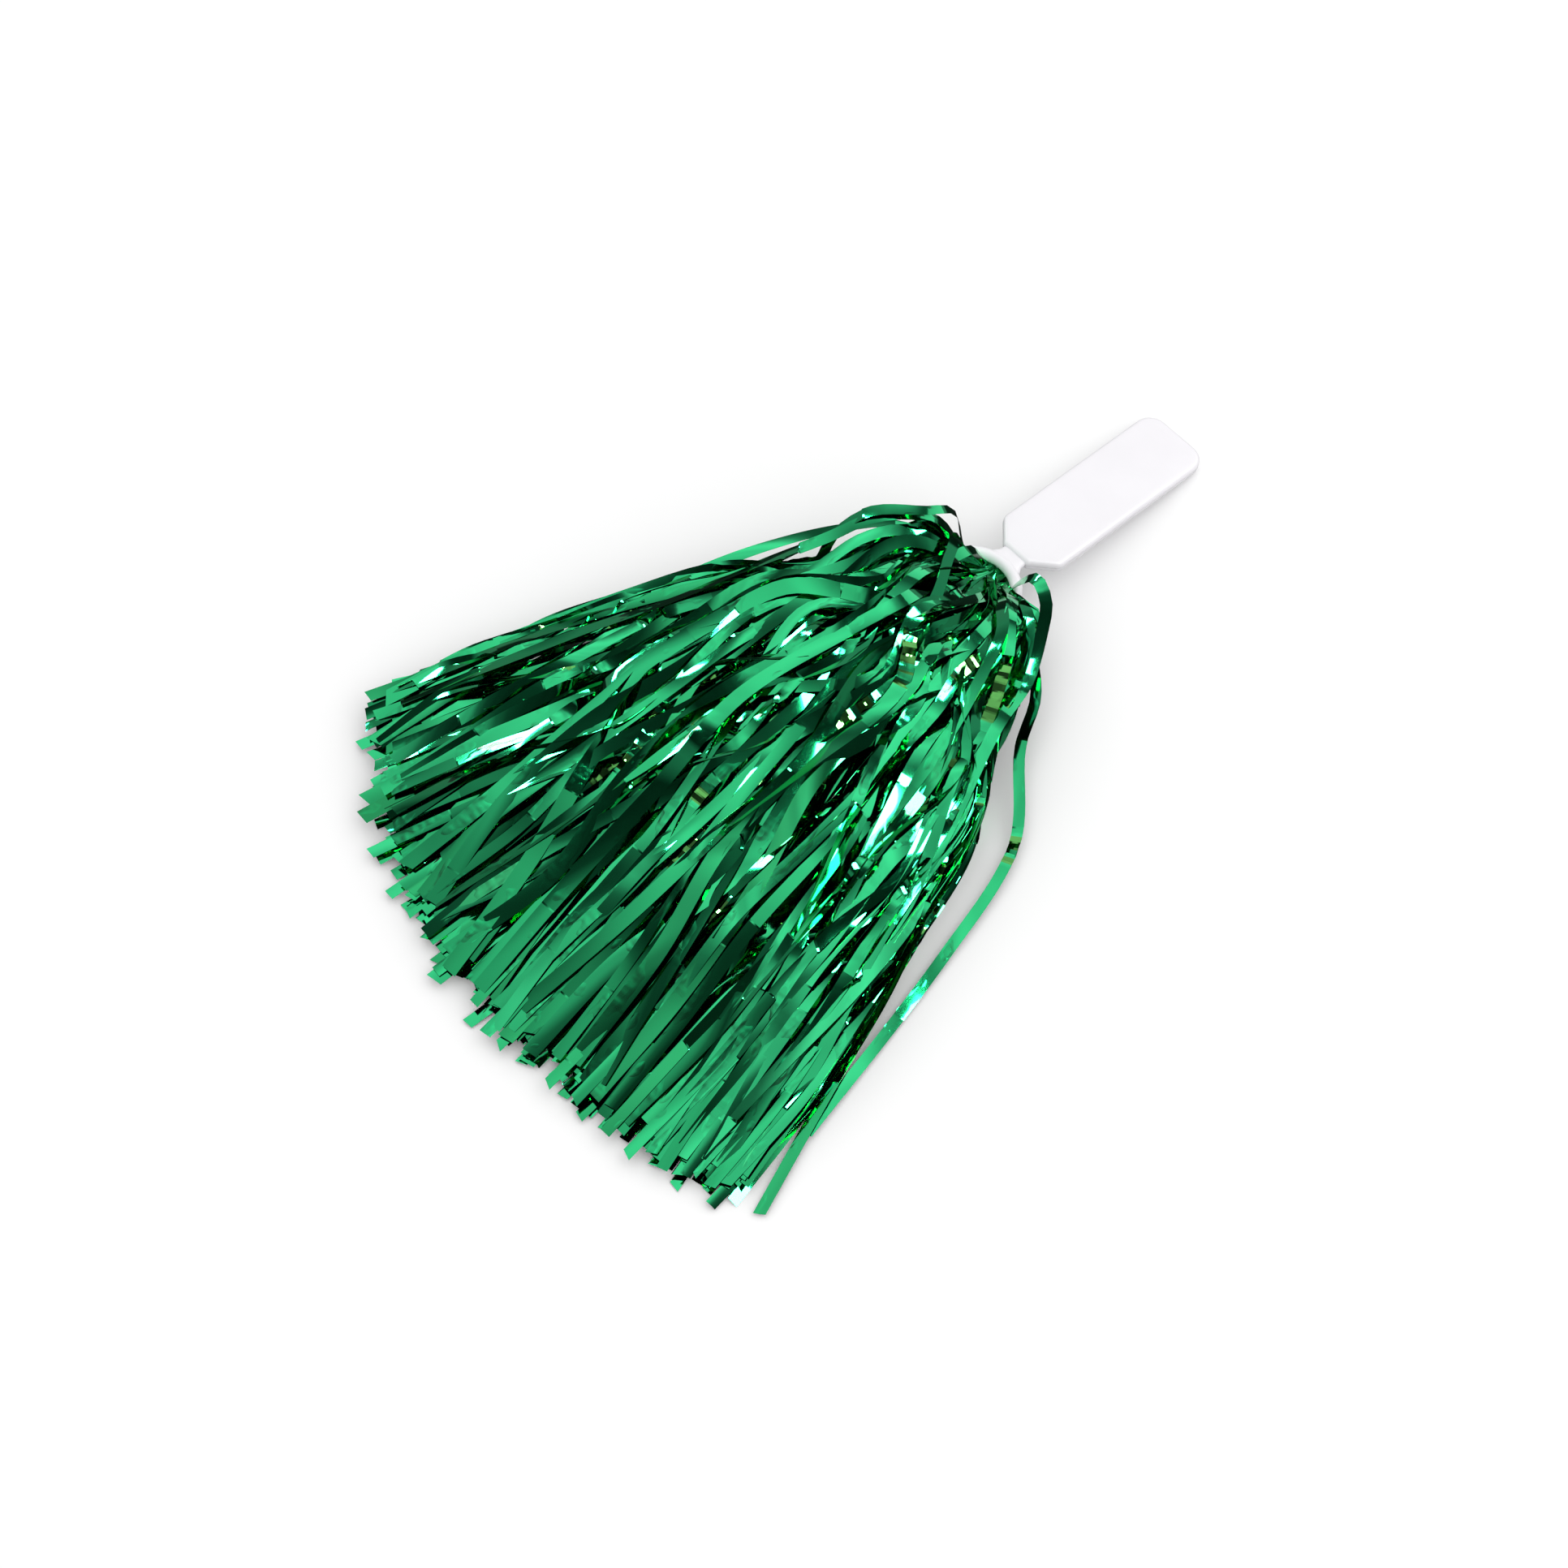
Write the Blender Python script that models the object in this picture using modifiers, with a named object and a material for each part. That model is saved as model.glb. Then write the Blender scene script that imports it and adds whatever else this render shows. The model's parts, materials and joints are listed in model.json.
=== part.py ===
"""Cheer pom pom: a flat white handle with a ring, and a bundle of foil streamers tied round the ring.

Metres, +Z up. The pom pom lies on a flat surface at z = 0. Its handle points along +X and its
streamers fan out towards -X. The origin is under the middle of the object's bounding box.
Each streamer solid stands for a tuft of about twenty loose foil strips.
"""

import math

import bmesh
import bpy
from mathutils import Matrix, Vector

# The handle, in its own frame: X runs from the ring's centre to the free end, Z is square to its face.
RING_RADIUS = 0.0185  # to the middle of the ring's bar
BAR_RADIUS = 0.00275
GUSSET_HALF_WIDTH = 0.0085
NECK_HALF_WIDTH = 0.0064
NECK_HALF_THICKNESS = 0.0022
NECK_LENGTH = 0.0025  # from where the gussets end to the handle
TONGUE_END = 0.0520
TONGUE_HALF_WIDTH = 0.0050
TONGUE_HALF_THICKNESS = 0.0013
HANDLE_START = 0.0256
HANDLE_END = 0.1310
HANDLE_HALF_WIDTH = 0.0175
HANDLE_HALF_THICKNESS = 0.0030
SHOULDER = 0.0105
CORNER_RADIUS = 0.0085
WALL = 0.0012
EDGE_ROUND = 0.0011
PEG_RADIUS = 0.0016
PEG_PLACES = (0.0420, 0.0800, 0.1150)
RIB_PLACES = (0.0610, 0.0975)
RIB_THICKNESS = 0.0012
GAP = 0.0003  # between pieces that touch
HANDLE_PITCH = math.radians(10)  # the handle slopes down to its free end

# The middle of the streamers, folded round the ring's bar and held by a cable tie.
FOLD_HALF_WIDTH = 0.0110
FOLD_INNER_RADIUS = 0.0075
FOLD_OUTER_RADIUS = 0.0115
FOLD_LEG_INNER = 0.0030
FOLD_LEG_OUTER = 0.0086
FOLD_LEG_END = -0.0315
TIE_START = -0.0305
TIE_END = -0.0259
TIE_CLEARANCE = 0.0004
TIE_THICKNESS = 0.0013
TIE_CORNER = 0.0008
TIE_HEAD = (0.0060, 0.0048, 0.0066)

# The streamers' fan. Distances are measured from the ring's centre.
COLUMNS = 8
FAN_LENGTH = 0.2900
SIDE_TIP_SHORTER = 0.0490  # the outermost streamers end this much nearer the ring
SIDE_TIP_POWER = 2.5
RING_HALF_WIDTH = 0.0480  # of the fan, level with the ring
FAN_SPREAD = 0.50  # the half width gained per metre behind the ring
FAN_CURVE = 0.45  # and lost again per square metre
FAN_MIDDLE = 0.0240  # height of the sheet that parts the top streamers from the bottom ones
FAN_MIDDLE_DROP = 0.0180  # of that sheet, from the tied bundle to the tips
RIDGE_DROP = (0.30, 0.42)  # of the fan's top, with the share of its length and with the share's square
SIDE_DROP = 0.60  # of the fan's top at its two sides
CROWN_REACH = 0.0300  # the loose bends in front of the ring's centre
CROWN_TOP = 0.0540
CROWN_EDGE = 0.0020  # the thickness of the crown at its outer edge
CROWN_ROUND = 0.96  # nearly 1: the crown is nearly a half circle from the front
FRONT_REACH = (0.0020, 0.0200)  # where the bends begin, in front of the ring's centre: middle and sides
TUFT_GAP = 0.0010
TUFT_CORNER = 0.18  # the chamfer of a tuft's section, as a share of its width and height
CROWN_CLEARANCE = 0.0040  # from the ring's plane to the bends beside it
FOLD_CLEARANCE = 0.0123  # from the ring's plane to the bends over the fold
FLOP_REACH = 0.0385  # from the ring's centre to where the tied bundle bends
BEND_REACH = 0.1500  # from the ring's centre to where the streamers bend again
BEND_HEIGHT = 0.0180
FACE_GAP = 0.0030
FLOP_LIMIT = math.radians(50)
BEND_LIMIT = math.radians(45)
FACE_SLACK = math.radians(1)
FACE_STEPS = 12  # enough to settle where a leaning face meets a tuft's corner
FLARE_SETBACK = 0.0045  # of the outermost tips, so that they can swing outwards

RING_HEIGHT = (
    (HANDLE_END - EDGE_ROUND) * math.sin(HANDLE_PITCH)
    + (HANDLE_HALF_THICKNESS - EDGE_ROUND) * math.cos(HANDLE_PITCH)
    + EDGE_ROUND
)
RING_X = (FAN_LENGTH - HANDLE_END * math.cos(HANDLE_PITCH)) / 2
RING_PLACE = Matrix.Translation((RING_X, 0, RING_HEIGHT)) @ Matrix.Rotation(HANDLE_PITCH, 4, "Y")
STANDING = Matrix.Rotation(math.pi / 2, 4, "X")  # turns an outline into the XZ plane
ACROSS = Matrix(((0, 0, 1, 0), (1, 0, 0, 0), (0, 1, 0, 0), (0, 0, 0, 1)))  # and into the YZ plane


def clear_scene():
    for obj in list(bpy.data.objects):
        bpy.data.objects.remove(obj, do_unlink=True)


def collection(name):
    made = bpy.data.collections.new(name)
    bpy.context.scene.collection.children.link(made)
    return made


def material(name, colour, roughness, metallic=0.0):
    made = bpy.data.materials.new(name)
    made.use_nodes = True
    shader = made.node_tree.nodes["Principled BSDF"]
    shader.inputs["Base Color"].default_value = (*colour, 1)
    shader.inputs["Roughness"].default_value = roughness
    shader.inputs["Metallic"].default_value = metallic
    return made


def axis_empty(name, place):
    empty = bpy.data.objects.new(name, None)
    empty.empty_display_size = 0.02
    empty.matrix_world = place
    PARTS.objects.link(empty)
    return empty


def part(name, mesh, finish, holder):
    """A named piece in the holder's frame."""
    mesh.name = name
    mesh.materials.clear()
    mesh.materials.append(finish)
    obj = bpy.data.objects.new(name, mesh)
    PARTS.objects.link(obj)
    obj.parent = holder
    return obj


def shape_piece(obj, mesh, operation):
    """Cut the mesh from a piece, or add it."""
    tool = bpy.data.objects.new(f"{obj.name}_{operation.lower()}_{len(obj.modifiers)}", mesh)
    TOOLS.objects.link(tool)
    tool.parent = obj.parent
    tool.display_type = "WIRE"
    tool.hide_render = True
    boolean = obj.modifiers.new(operation.lower(), "BOOLEAN")
    boolean.operation = operation
    boolean.object = tool


def plate(outline, low, high, turn=None):
    """The mesh of a flat outline in the XY plane, from z = low to z = high, then turned."""
    curve = bpy.data.curves.new("outline", "CURVE")
    curve.dimensions = "2D"
    curve.fill_mode = "BOTH"
    curve.extrude = (high - low) / 2
    line = curve.splines.new("POLY")
    line.points.add(len(outline) - 1)
    for point, (x, y) in zip(line.points, outline):
        point.co = (x, y, 0, 1)
    line.use_cyclic_u = True
    holder = bpy.data.objects.new("outline", curve)
    bpy.context.scene.collection.objects.link(holder)
    bpy.context.view_layer.update()
    mesh = bpy.data.meshes.new_from_object(holder.evaluated_get(bpy.context.evaluated_depsgraph_get()))
    bpy.data.objects.remove(holder)
    bpy.data.curves.remove(curve)
    bm = bmesh.new()
    bm.from_mesh(mesh)
    bmesh.ops.remove_doubles(bm, verts=bm.verts, dist=0.00001)
    bmesh.ops.translate(bm, verts=bm.verts, vec=(0, 0, (low + high) / 2))
    bmesh.ops.recalc_face_normals(bm, faces=bm.faces)
    bm.to_mesh(mesh)
    bm.free()
    if turn:
        mesh.transform(turn)
    return mesh


def block(size, centre):
    bm = bmesh.new()
    bmesh.ops.create_cube(bm, size=1, matrix=Matrix.Translation(centre) @ Matrix.Diagonal((*size, 1)))
    mesh = bpy.data.meshes.new("block")
    bm.to_mesh(mesh)
    bm.free()
    return mesh


def pin(radius, x, low, high):
    bm = bmesh.new()
    middle = Matrix.Translation((x, 0, (low + high) / 2))
    bmesh.ops.create_cone(
        bm, cap_ends=True, segments=16, radius1=radius, radius2=radius, depth=high - low, matrix=middle
    )
    mesh = bpy.data.meshes.new("pin")
    bm.to_mesh(mesh)
    bm.free()
    return mesh


def arc(centre, radius, first, last, steps):
    """Points on an arc, with both of its ends. Angles are in degrees."""
    turns = [math.radians(first + (last - first) * k / steps) for k in range(steps + 1)]
    return [(centre[0] + radius * math.cos(a), centre[1] + radius * math.sin(a)) for a in turns]


def handle_outline(inset):
    """The handle's flat outline: sloping shoulders by the ring, and round corners at the free end."""
    side = HANDLE_HALF_WIDTH - inset
    start = HANDLE_START + inset
    slope = SHOULDER - inset * (2 - math.sqrt(2))
    radius = CORNER_RADIUS - inset
    corner_x = HANDLE_END - CORNER_RADIUS
    corner_y = HANDLE_HALF_WIDTH - CORNER_RADIUS
    return [
        (start, -side + slope),
        (start + slope, -side),
        *arc((corner_x, -corner_y), radius, -90, 0, 6),
        *arc((corner_x, corner_y), radius, 0, 90, 6),
        (start + slope, side),
        (start, side - slope),
    ]


def round_outer_edge(obj, level):
    """Round the outline's edge on the face at z = level."""
    weights = obj.data.attributes.new("bevel_weight_edge", "FLOAT", "EDGE")
    points = obj.data.vertices
    for edge in obj.data.edges:
        on_face = all(abs(points[v].co.z - level) < 1e-6 for v in edge.vertices)
        weights.data[edge.index].value = 1.0 if on_face else 0.0
    bevel = obj.modifiers.new("round_edge", "BEVEL")
    bevel.limit_method = "WEIGHT"
    bevel.width = EDGE_ROUND
    bevel.segments = 3


def dissolve_flat(mesh):
    """Join the triangles of each flat face, so that only the outline's edges are left."""
    bm = bmesh.new()
    bm.from_mesh(mesh)
    bmesh.ops.dissolve_limit(bm, angle_limit=math.radians(1), verts=bm.verts, edges=bm.edges)
    bm.to_mesh(mesh)
    bm.free()
    return mesh


def handle_shell(name, side):
    """One half of the hollow handle; side is 1 for the front and -1 for the back."""
    levels = sorted((side * GAP / 2, side * HANDLE_HALF_THICKNESS))
    shell = part(name, dissolve_flat(plate(handle_outline(0), *levels)), WHITE, HANDLE_FRAME)
    round_outer_edge(shell, side * HANDLE_HALF_THICKNESS)
    floor = HANDLE_HALF_THICKNESS - WALL
    hollow = sorted((-side * WALL, side * floor))
    shape_piece(shell, plate(handle_outline(WALL), *hollow), "DIFFERENCE")
    slot_height = 2 * (TONGUE_HALF_THICKNESS + GAP)
    slot_size = (4 * WALL, 2 * (TONGUE_HALF_WIDTH + GAP), slot_height)
    shape_piece(shell, block(slot_size, (HANDLE_START, 0, 0)), "DIFFERENCE")
    return shell


def rear_shell_inside(shell):
    """Pegs that hold the ring's tongue and the front shell, and two ribs across."""
    floor = HANDLE_HALF_THICKNESS - WALL
    for x in PEG_PLACES:
        shape_piece(shell, pin(PEG_RADIUS, x, -floor - WALL / 2, floor - GAP), "UNION")
    for x in RIB_PLACES:
        length = 2 * (HANDLE_HALF_WIDTH - WALL / 2)
        height = floor + WALL / 2 - GAP
        middle = (x, 0, -(floor + WALL / 2) / 2 - GAP / 2)
        shape_piece(shell, block((RIB_THICKNESS, length, height), middle), "UNION")


def ring_and_stem():
    """The ring, its gusseted neck, and the tongue that plugs into the handle."""
    bpy.ops.mesh.primitive_torus_add(
        major_radius=RING_RADIUS, minor_radius=BAR_RADIUS, major_segments=64, minor_segments=14
    )
    torus = bpy.context.object
    ring = part("ring_and_stem", torus.data.copy(), WHITE, HANDLE_FRAME)
    bpy.data.objects.remove(torus)
    neck_end = HANDLE_START - GAP
    outline = [(RING_RADIUS, -GUSSET_HALF_WIDTH)]
    outline += [(neck_end - NECK_LENGTH, -NECK_HALF_WIDTH), (neck_end, -NECK_HALF_WIDTH)]
    outline += [(x, -y) for x, y in reversed(outline)]
    shape_piece(ring, plate(outline, -NECK_HALF_THICKNESS, NECK_HALF_THICKNESS), "UNION")
    length = TONGUE_END - neck_end + WALL
    size = (length, 2 * TONGUE_HALF_WIDTH, 2 * TONGUE_HALF_THICKNESS)
    shape_piece(ring, block(size, (TONGUE_END - length / 2, 0, 0)), "UNION")
    hole = pin(PEG_RADIUS + GAP, PEG_PLACES[0], -2 * BAR_RADIUS, 2 * BAR_RADIUS)
    shape_piece(ring, hole, "DIFFERENCE")
    ring.data.shade_smooth()
    ring.data.set_sharp_from_angle(angle=math.radians(40))


def tied_fold():
    """The streamers' middle: a C round the ring's bar, with both legs going to the tie."""
    bar = (-RING_RADIUS, 0)
    outer = arc(bar, FOLD_OUTER_RADIUS, -90, 90, 12)
    inner = arc(bar, FOLD_INNER_RADIUS, 90, -90, 12)
    top_leg = [(TIE_END, FOLD_LEG_OUTER), (FOLD_LEG_END, FOLD_LEG_OUTER), (FOLD_LEG_END, FOLD_LEG_INNER)]
    bottom_leg = [(x, -z) for x, z in reversed(top_leg)]
    outline = [*outer, *top_leg, *inner, *bottom_leg]
    mesh = plate(outline, -FOLD_HALF_WIDTH, FOLD_HALF_WIDTH, STANDING)
    part("tied_fold", mesh, FOIL, RING_AXIS)


def cable_tie():
    """A strap round both legs of the fold, with its locking head at one side."""
    half_y = FOLD_HALF_WIDTH + TIE_CLEARANCE
    half_z = FOLD_LEG_OUTER + TIE_CLEARANCE

    def loop(grow):
        y = half_y - TIE_CORNER
        z = half_z - TIE_CORNER
        middles = ((y, z, 0), (-y, z, 90), (-y, -z, 180), (y, -z, 270))
        return [p for *m, turn in middles for p in arc(m, TIE_CORNER + grow, turn, turn + 90, 4)]

    tie = part("cable_tie", plate(loop(TIE_THICKNESS), TIE_START, TIE_END, ACROSS), CLEAR, RING_AXIS)
    hole = plate(loop(0), TIE_START - WALL, TIE_END + WALL, ACROSS)
    head_y = half_y + TIE_THICKNESS / 2 + TIE_HEAD[1] / 2
    middle = ((TIE_START + TIE_END) / 2, head_y, 0)
    shape_piece(tie, block(TIE_HEAD, middle), "UNION")
    shape_piece(tie, hole, "DIFFERENCE")


def fan_half_width(reach):
    """The fan's half width at a distance behind the ring's centre, which is negative in front of it."""
    if reach < 0:
        return RING_HALF_WIDTH * math.sqrt(1 - (reach / CROWN_REACH) ** 2)
    return RING_HALF_WIDTH + FAN_SPREAD * reach - FAN_CURVE * reach**2


def tip_reach(share):
    return FAN_LENGTH - SIDE_TIP_SHORTER * abs(share) ** SIDE_TIP_POWER


def crown_front(share):
    """Where the bends begin: inside the ring near the middle, and in front of it at the sides."""
    middle, side = FRONT_REACH
    blend = min(2 * abs(share), 1)
    return -(middle + (side - middle) * blend * blend * (3 - 2 * blend))


def ring_plane(reach, offset):
    """The height of the plane that lies offset above the ring's own."""
    return RING_HEIGHT + reach * math.tan(HANDLE_PITCH) + offset / math.cos(HANDLE_PITCH)


def fan_middle(reach):
    """The height of the sheet that parts the top streamers from the bottom ones."""
    return FAN_MIDDLE - FAN_MIDDLE_DROP * (reach - FLOP_REACH) / (FAN_LENGTH - FLOP_REACH)


def fan_top(reach, share):
    along = max(reach - FLOP_REACH, 0) / (FAN_LENGTH - FLOP_REACH)
    ridge = CROWN_TOP * (1 - RIDGE_DROP[0] * along - RIDGE_DROP[1] * along**2)
    middle = fan_middle(reach)
    return middle + (ridge - middle) * (1 - SIDE_DROP * abs(share) ** 3)


def fan_levels(layer):
    """The height of a tuft at a reach and share of the width, from 0 at its underside to 1 on top."""

    def top(reach, share, level):
        low = fan_middle(reach) + TUFT_GAP / 2
        return low + (fan_top(reach, share) - low) * level

    def bottom(reach, share, level):
        return (fan_middle(reach) - TUFT_GAP / 2) * level

    return top if layer == "top" else bottom


def crown_levels(layer, clearance):
    """The same for the bends beside the ring, which stay clear of its plane."""

    def top(reach, share, level):
        low = ring_plane(reach, clearance)
        high = low + CROWN_EDGE + (CROWN_TOP - CROWN_EDGE - low) * math.sqrt(1 - CROWN_ROUND * share**2)
        return low + (high - low) * level

    def bottom(reach, share, level):
        return ring_plane(reach, -clearance) * level

    return top if layer == "top" else bottom


def hinge_face(reach, height, limit, side):
    """A face that leans back from a hinge above and below it, so that it is free to turn to the limit."""
    slope = math.tan(limit / 2 + FACE_SLACK)
    return lambda share, z: reach + side * (FACE_GAP / 2 + abs(z - height) * slope)


def tuft(name, shares, start, end, levels, holder, stations):
    """A loft from one end face to the other, between two shares of the fan's width."""
    section = [(TUFT_CORNER, 0), (1 - TUFT_CORNER, 0), (1, TUFT_CORNER), (1, 1 - TUFT_CORNER)]
    section += [(1 - u, 1 - v) for u, v in section]
    rows = []
    for k in range(stations + 1):
        row = []
        for u, v in section:
            share = shares[0] + (shares[1] - shares[0]) * u
            ends = []
            for face in (start, end):
                reach = face(share, 0)
                for _ in range(FACE_STEPS):  # on a leaning face, reach and height depend on each other
                    reach = face(share, levels(reach, share, v))
                ends.append(reach)
            reach = ends[0] + (ends[1] - ends[0]) * k / stations
            y = share * fan_half_width(reach) + (0.5 - u) * TUFT_GAP
            row.append(Vector((RING_X - reach, y, levels(reach, share, v))))
        rows.append(row)
    bm = bmesh.new()
    verts = [[bm.verts.new(p) for p in row] for row in rows]
    count = len(section)
    for near, far in zip(verts, verts[1:]):
        for i in range(count):
            j = (i + 1) % count
            bm.faces.new((near[i], near[j], far[j], far[i]))
    bm.faces.new(verts[0])
    bm.faces.new(verts[-1])
    bmesh.ops.recalc_face_normals(bm, faces=bm.faces)
    mesh = bpy.data.meshes.new(name)
    bm.to_mesh(mesh)
    bm.free()
    mesh.transform(holder.matrix_world.inverted())
    part(name, mesh, FOIL, holder)


def streamers():
    """Three lengths of each tuft: the bend by the ring, the root half and the tip half."""
    flop = RING_PLACE @ Vector((-FLOP_REACH, 0, 0))
    flop_axis = axis_empty("flop_axis", Matrix.Translation(flop))
    bend_axis = axis_empty("bend_axis", Matrix.Translation((RING_X - BEND_REACH, 0, BEND_HEIGHT)))
    flop_reach = RING_X - flop.x
    bend_reach = BEND_REACH + FACE_GAP / 2 + FLARE_SETBACK
    outer_share = 1 - 1 / COLUMNS
    flares = {}
    for column, side in ((0, -1), (COLUMNS - 1, 1)):
        y = side * outer_share * fan_half_width(bend_reach)
        place = Matrix.Translation((RING_X - bend_reach, y, BEND_HEIGHT))
        flares[column] = axis_empty("right_flare_axis" if side < 0 else "left_flare_axis", place)
    for layer in ("top", "bottom"):
        for column in range(COLUMNS):
            shares = (2 * column / COLUMNS - 1, 2 * (column + 1) / COLUMNS - 1)
            over_fold = column in (COLUMNS // 2 - 1, COLUMNS // 2)
            clearance = FOLD_CLEARANCE if over_fold else CROWN_CLEARANCE
            setback = FLARE_SETBACK if column in flares else 0
            number = column + 1
            tuft(
                f"{layer}_bend_{number}",
                shares,
                lambda share, z: crown_front(share),
                hinge_face(flop_reach, flop.z, FLOP_LIMIT, -1),
                crown_levels(layer, clearance),
                RING_AXIS,
                3,
            )
            tuft(
                f"{layer}_streamers_{number}",
                shares,
                hinge_face(flop_reach, flop.z, FLOP_LIMIT, 1),
                hinge_face(BEND_REACH, BEND_HEIGHT, BEND_LIMIT, -1),
                fan_levels(layer),
                flop_axis,
                5,
            )
            tuft(
                f"{layer}_tips_{number}",
                shares,
                hinge_face(BEND_REACH + setback, BEND_HEIGHT, BEND_LIMIT, 1),
                lambda share, z: tip_reach(share),
                fan_levels(layer),
                flares.get(column, bend_axis),
                5,
            )


clear_scene()
PARTS = collection("cheer_pom_pom")
TOOLS = collection("cutters")
WHITE = material("white_plastic", (0.90, 0.89, 0.91), 0.32)
CLEAR = material("tie_plastic", (0.82, 0.84, 0.82), 0.40)
FOIL = material("green_foil", (0.03, 0.40, 0.16), 0.22, 1.0)
HANDLE_FRAME = axis_empty("handle_frame", RING_PLACE)
RING_AXIS = axis_empty("ring_axis", RING_PLACE)
bpy.context.view_layer.update()

handle_shell("handle_front_shell", 1)
rear_shell_inside(handle_shell("handle_rear_shell", -1))
ring_and_stem()
tied_fold()
cable_tie()
bpy.context.view_layer.update()
streamers()
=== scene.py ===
import json
import math

import bmesh
import bpy
import numpy as np
from mathutils import Matrix, Vector

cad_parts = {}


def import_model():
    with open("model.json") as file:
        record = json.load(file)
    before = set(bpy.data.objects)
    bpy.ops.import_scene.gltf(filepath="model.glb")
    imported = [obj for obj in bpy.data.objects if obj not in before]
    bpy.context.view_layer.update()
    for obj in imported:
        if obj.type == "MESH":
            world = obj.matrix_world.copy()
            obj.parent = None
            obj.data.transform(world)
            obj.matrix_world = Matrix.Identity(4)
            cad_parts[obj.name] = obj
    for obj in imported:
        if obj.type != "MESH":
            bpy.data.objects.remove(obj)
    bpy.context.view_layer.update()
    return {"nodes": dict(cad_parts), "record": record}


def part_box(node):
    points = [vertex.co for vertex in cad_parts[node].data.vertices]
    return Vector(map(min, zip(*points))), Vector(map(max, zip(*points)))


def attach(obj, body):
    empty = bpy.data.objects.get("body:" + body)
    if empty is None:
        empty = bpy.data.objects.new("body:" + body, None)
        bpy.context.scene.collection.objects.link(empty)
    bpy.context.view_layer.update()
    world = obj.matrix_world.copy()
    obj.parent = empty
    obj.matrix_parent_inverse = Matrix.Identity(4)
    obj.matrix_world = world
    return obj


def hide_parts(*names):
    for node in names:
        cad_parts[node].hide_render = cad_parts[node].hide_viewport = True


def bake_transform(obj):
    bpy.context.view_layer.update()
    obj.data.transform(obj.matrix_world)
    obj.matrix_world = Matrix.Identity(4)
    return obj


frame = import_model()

rng = np.random.default_rng(23)

# ------------------------------ the frame
JOINTS = {j["name"]: j for j in frame["record"]["behaviour"]["joints"]}
RING = np.array(JOINTS["bundle_turn"]["pos_m"])
RING_UP = np.array(JOINTS["bundle_turn"]["axis"])
PITCH = math.atan2(RING_UP[0], RING_UP[2])
RING_PLACE = Matrix.Translation(RING) @ Matrix.Rotation(PITCH, 4, "Y")
FLOP_REACH = float(RING[0] - JOINTS["tassel_flop"]["pos_m"][0])
COLUMNS = 8
FAN_LENGTH = RING[0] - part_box("top_tips_4")[0][0]
CROWN_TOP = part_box("top_bend_4")[1][2]

# ------------------------------ the ring and the handle, in the ring's frame
RING_RADIUS = 0.0185  # to the middle of its bar
BAR_RADIUS = 0.00275
BAR_CLEARANCE = 0.0007  # between the bar and a strip's middle line
NECK_HALF_WIDTH = 0.0064
SHOULDER = 0.0105  # where the handle's outline slopes
NECK_CORNER, SHOULDER_CORNER, END_CORNER = 0.0020, 0.0045, 0.0085  # radii of the outline's corners
SHELL_GAP = 0.00015  # from the middle plane to each half of the handle
EDGE_ROUND, EDGE_STEPS = 0.0018, 6
RING_STEPS, BAR_STEPS, NECK_STEPS = 96, 20, 24  # faces round the ring, its bar and its neck
NECK_SQUARE = (0.35, 0.6)  # across and in height: the smaller, the squarer the neck's section
FACE_SINK = 0.0001  # the handle's faces lie this far inside the CAD's

# ------------------------------ the foil
STRIP_WIDTH = 0.0050
WIDER, COVER_WIDER, LOOP_WIDER = 1.45, 1.35, 1.1  # one strip in six, the covers and the loops are wider
COVER_LIFE, LOOP_LIFE, STRAY_LIFE, FOLD_LIFE = 0.40, 0.35, 0.15, 0.10  # how lively these strips are
FOIL_THICKNESS = 0.00006
FLOOR_CLEARANCE = 0.0002
STEP = 0.0050  # between stations along a strip
CREASE = 0.0004  # half the length of a crease
CREASE_GAPS, MOST_CREASES = (0.020, 0.085), 20  # from one crease to the next, and how many at most
PLEAT_GAPS, PLEATS = (0.0022, 0.0042), (5, 12)  # the same in a pleated run, which has from 5 to 11
PLEAT = 0.0060  # facets shorter than this belong to a pleated run
SMOOTH_START, SMOOTH_END = 0.036, 0.012  # there are no creases this near to a strip's ends
PLEAT_PLACE = (0.08, 0.70)  # where a pleated run starts, as a share of the strip's length
CREASE_SLOPE, PLEAT_SLOPE = 0.070, 0.18  # how far a crease stands off, over the shorter facet beside it
CREASE_HEIGHT, CREASE_LEAST = 0.0016, 0.0001
SHADES, SHADE_STEP = (0.1, 0.85), 0.06  # a strip's own shade, and how much its facets differ from it
STRIPS_IN_TUFT = 21
LOOSE_LEVEL = 0.8  # strips at a higher level lie loose on top of their layer
COVER_LEVEL, COVER_SCATTER = 1.12, 0.3
SETTLE_FROM, SETTLE_OVER = 0.140, 0.100  # reach over which strips stop turning and lie flat side by side
LEAN_FADE = 0.100  # a strip's own lean fades out from 0.4 to 1.4 of this length
STEP_TURN, LOOSE_STEP_TURN = 0.06, 0.30  # radians that the face turns by at a crease, and more on loose strips
APART = 0.012  # it turns less at creases that are closer together
SLOW_TURN, LOOSE_SLOW_TURN = 0.06, 0.84  # the same for the slow waves between the creases
SLOW_SPACING, SLOW_START, SLOW_SETTLED = 0.070, 0.050, 0.12
NEAR_TURN, NEAR_START = 0.80, 0.040  # the turn near the ring
NEAR_FADE_FROM, NEAR_FADE_OVER = 0.030, 0.120
TWIST_CHANCE, TWIST_PLACE, TWIST_LENGTH = 0.36, (0.12, 0.65), (0.014, 0.040)  # half twists
BOW_SPACING, BOW_HEIGHT = 0.060, 0.00014  # of a strip's middle over its edges
ASKEW = 0.12  # slope of the cut ends
PAINTED_GLINT_SHARE = 0.70  # of the facets of pleated runs, painted olive: a painted reflection of the pleats' glints
PATTERN_LENGTH = 7  # each strip takes its bumps from its own place in a pattern this long
CORNERS = 6  # of a ribbon's section
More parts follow.
